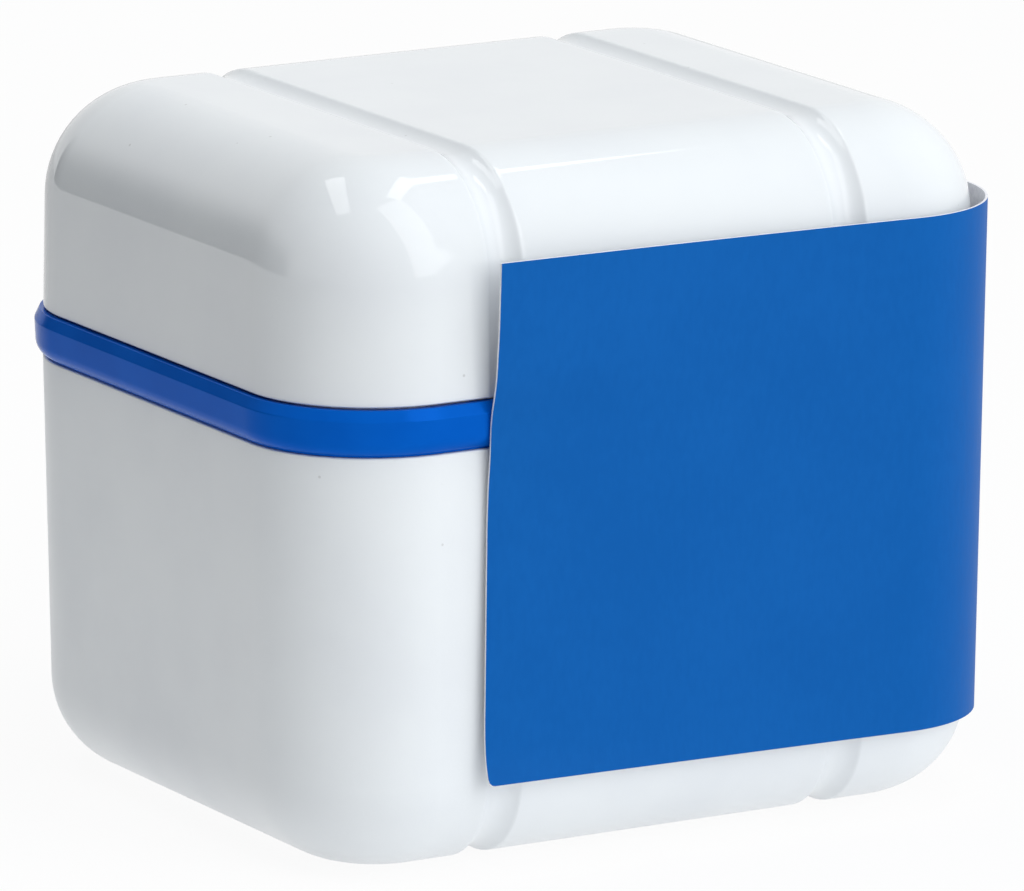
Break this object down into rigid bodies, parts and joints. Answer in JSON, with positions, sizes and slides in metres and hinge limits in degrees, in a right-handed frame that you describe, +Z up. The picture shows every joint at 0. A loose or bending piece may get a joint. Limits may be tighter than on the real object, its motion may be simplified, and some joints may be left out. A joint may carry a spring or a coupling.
{
  "type": "denture case",
  "caption": "Box-shaped denture bath with a hinged lid, a push-bar latch in a coloured rim, a lift-out strainer basket and a plain paper wrap.",
  "frame": {"origin": "middle of the underside, on the surface that the case stands on", "axes": "+Z up, -Y towards the front where the push bar is, +X to the right seen from the front"},
  "size_m": [0.0937, 0.0838, 0.08],
  "materials": {
    "white_gloss": "polished white moulding",
    "white_satin": "satin white moulding",
    "rim_blue": "semi-gloss blue moulding",
    "basket_blue": "satin blue moulding",
    "seal": "soft milky silicone",
    "steel": "bright drawn wire",
    "wrap_paper": "matt printed card, white inside",
    "glue": "clear removable glue"
  },
  "bodies": {
    "case": {"base_cup": "white_satin", "rim_frame": "rim_blue", "hinge_pin": "steel", "button_springs": "steel"},
    "lid": {"lid_shell": "white_gloss", "lid_seal": "seal"},
    "button": {"release_button": "rim_blue", "latch_hook": "rim_blue"},
    "basket": {"strainer_basket": "basket_blue"},
    "handle": {"basket_handle": "basket_blue"},
    "wrap": {"paper_wrap": "wrap_paper", "glue_dots": "glue"}
  },
  "joints": [
    {"name": "lid_hinge", "type": "hinge", "parent": "case", "child": "lid", "pos_m": [0, 0.0415, 0.054], "axis": [-1, 0, 0], "range_deg": [0, 105]},
    {"name": "button_press", "type": "slide", "parent": "case", "child": "button", "axis": [0, 1, 0], "range_m": [0, 0.0009], "stiffness_N_per_m": 600, "springref_m": -0.002, "deforming": ["button_springs"]},
    {"name": "basket_lift", "type": "slide", "parent": "case", "child": "basket", "axis": [0, 0, 1], "range_m": [0, 0.055]},
    {"name": "handle_swing", "type": "hinge", "parent": "basket", "child": "handle", "pos_m": [0, 0, 0.0465], "axis": [-1, 0, 0], "range_deg": [0, 90]},
    {"name": "wrap_pull", "type": "slide", "parent": "case", "child": "wrap", "axis": [0.7071, -0.7071, 0], "range_m": [0, 0.04]}
  ],
  "couplings": [
    {"joint": "basket_lift", "follows": "lid_hinge", "m_per_rad": 0.03}
  ]
}
